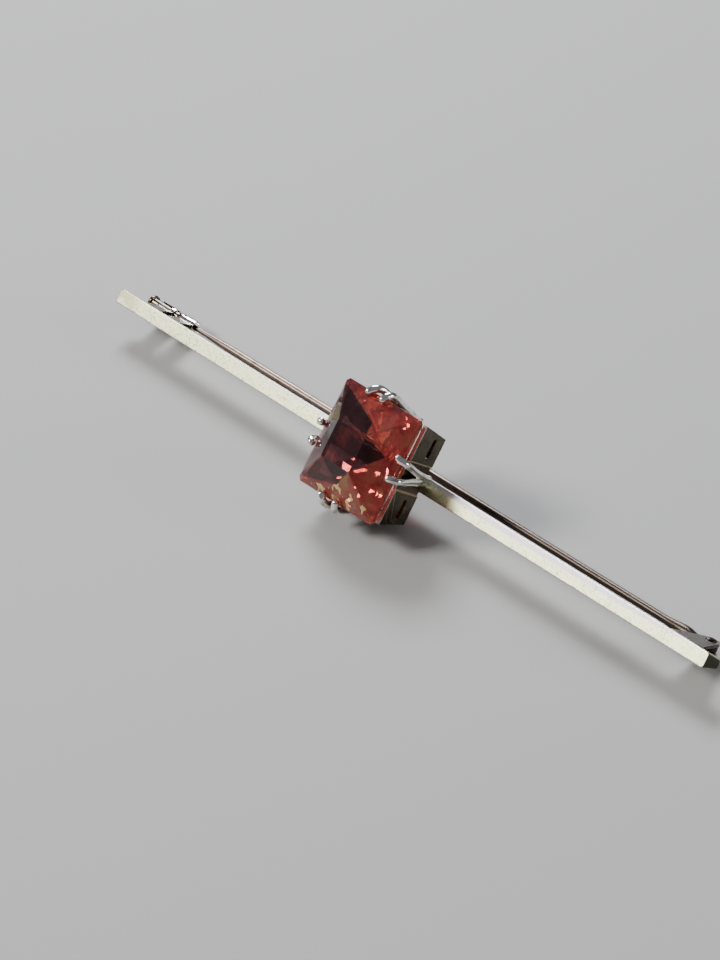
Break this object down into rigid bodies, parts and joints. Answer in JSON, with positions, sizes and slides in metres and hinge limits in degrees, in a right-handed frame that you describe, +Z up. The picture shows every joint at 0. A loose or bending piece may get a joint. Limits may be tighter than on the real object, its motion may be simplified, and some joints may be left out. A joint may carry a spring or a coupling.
{
  "type": "bar brooch",
  "caption": "Slim silver-coloured bar brooch with a square red stone in a pierced box gallery, hinged pin and sliding tube catch, lying on its side.",
  "frame": {"origin": "middle of the box around the brooch as it lies, at table height", "axes": "+X along the bar from the catch end to the hinge end; +Z up from the table; the stone faces up and towards -Y"},
  "size_m": [0.0748, 0.0112, 0.0102],
  "materials": {
    "silver": "polished, with fine wear",
    "pin": "drawn wire, slightly dull",
    "stone": "polished facets"
  },
  "bodies": {
    "frame": {"brooch_frame": "silver", "stone": "stone", "hinge_rivet": "pin"},
    "pin": {"pin_stem": "pin"},
    "slide": {"catch_slide": "silver"}
  },
  "joints": [
    {"name": "pin_hinge", "type": "hinge", "parent": "frame", "child": "pin", "pos_m": [0.03358, 0.00468, 0.00085], "axis": [0, -0.4877, -0.873], "range_deg": [0, 80]},
    {"name": "catch_slide", "type": "slide", "parent": "frame", "child": "slide", "axis": [1, 0, 0], "range_m": [0, 0.001]}
  ]
}
